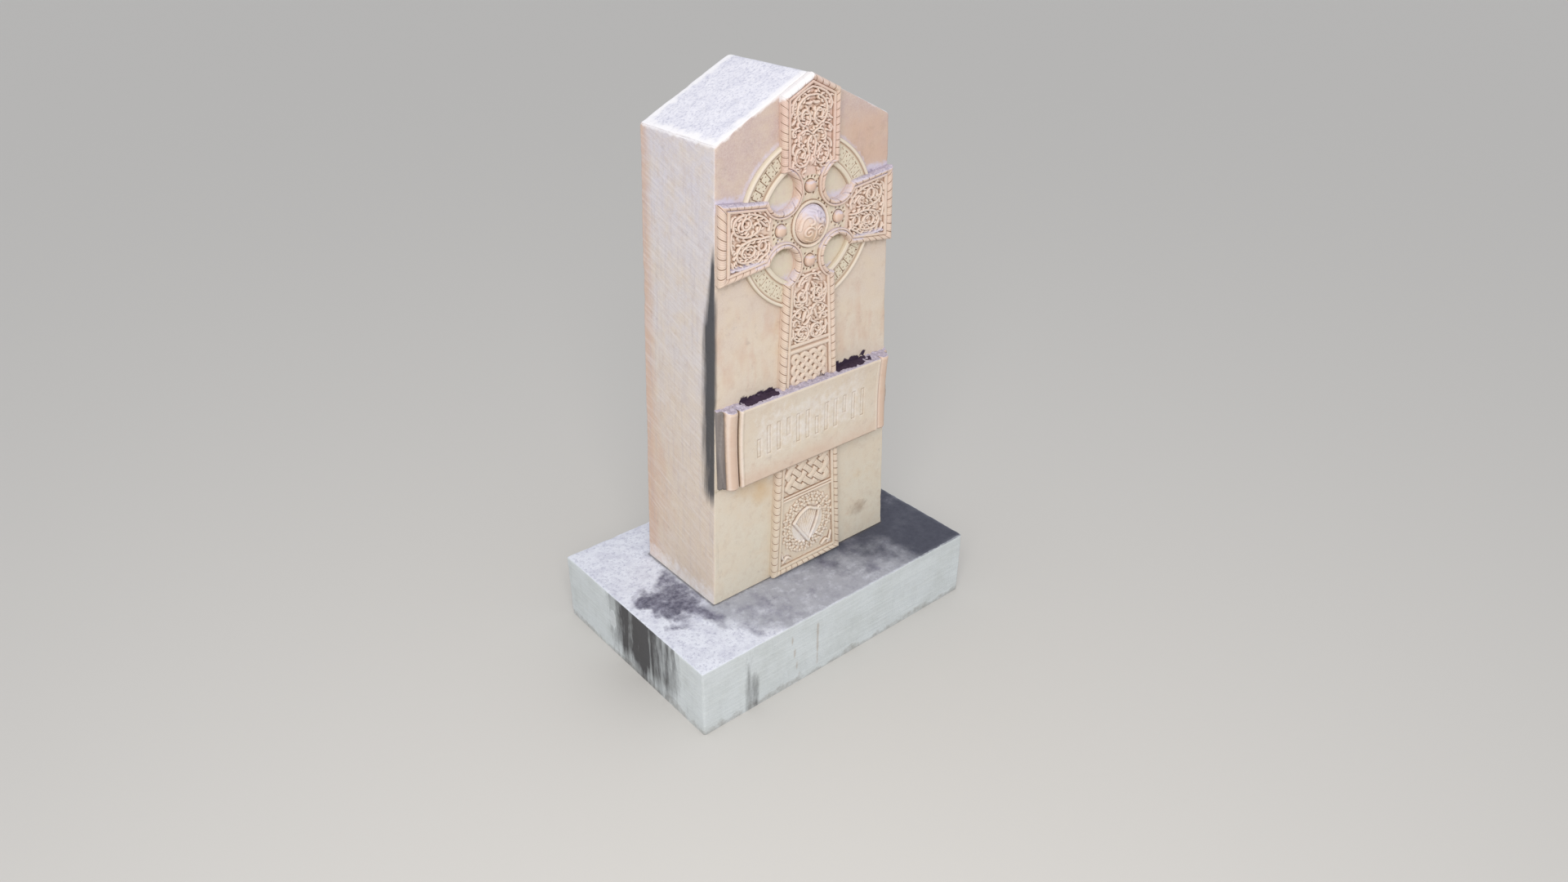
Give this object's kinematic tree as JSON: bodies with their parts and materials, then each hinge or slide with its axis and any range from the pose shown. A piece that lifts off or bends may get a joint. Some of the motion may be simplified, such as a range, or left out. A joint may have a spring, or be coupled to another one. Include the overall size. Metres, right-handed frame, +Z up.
{
  "type": "headstone",
  "caption": "Gabled stone headstone on a base block, with a ringed cross, knotwork panels, a harp in a wreath and a banner carved in relief on its face.",
  "frame": {"origin": "middle of the base block's underside, where it meets the ground", "axes": "+X along the front towards the viewer's right, -Y the way the carved front faces, +Z up"},
  "size_m": [1.52, 1.035, 2.4503],
  "materials": {
    "base_stone": "grey-white tooled limestone, weathered, with dark lichen on its top",
    "tablet_stone": "warm cream to pink sandstone, rubbed smooth, with dark streaks below its ledges"
  },
  "bodies": {
    "root": {"base": "base_stone", "tablet": "tablet_stone"}
  },
  "joints": []
}
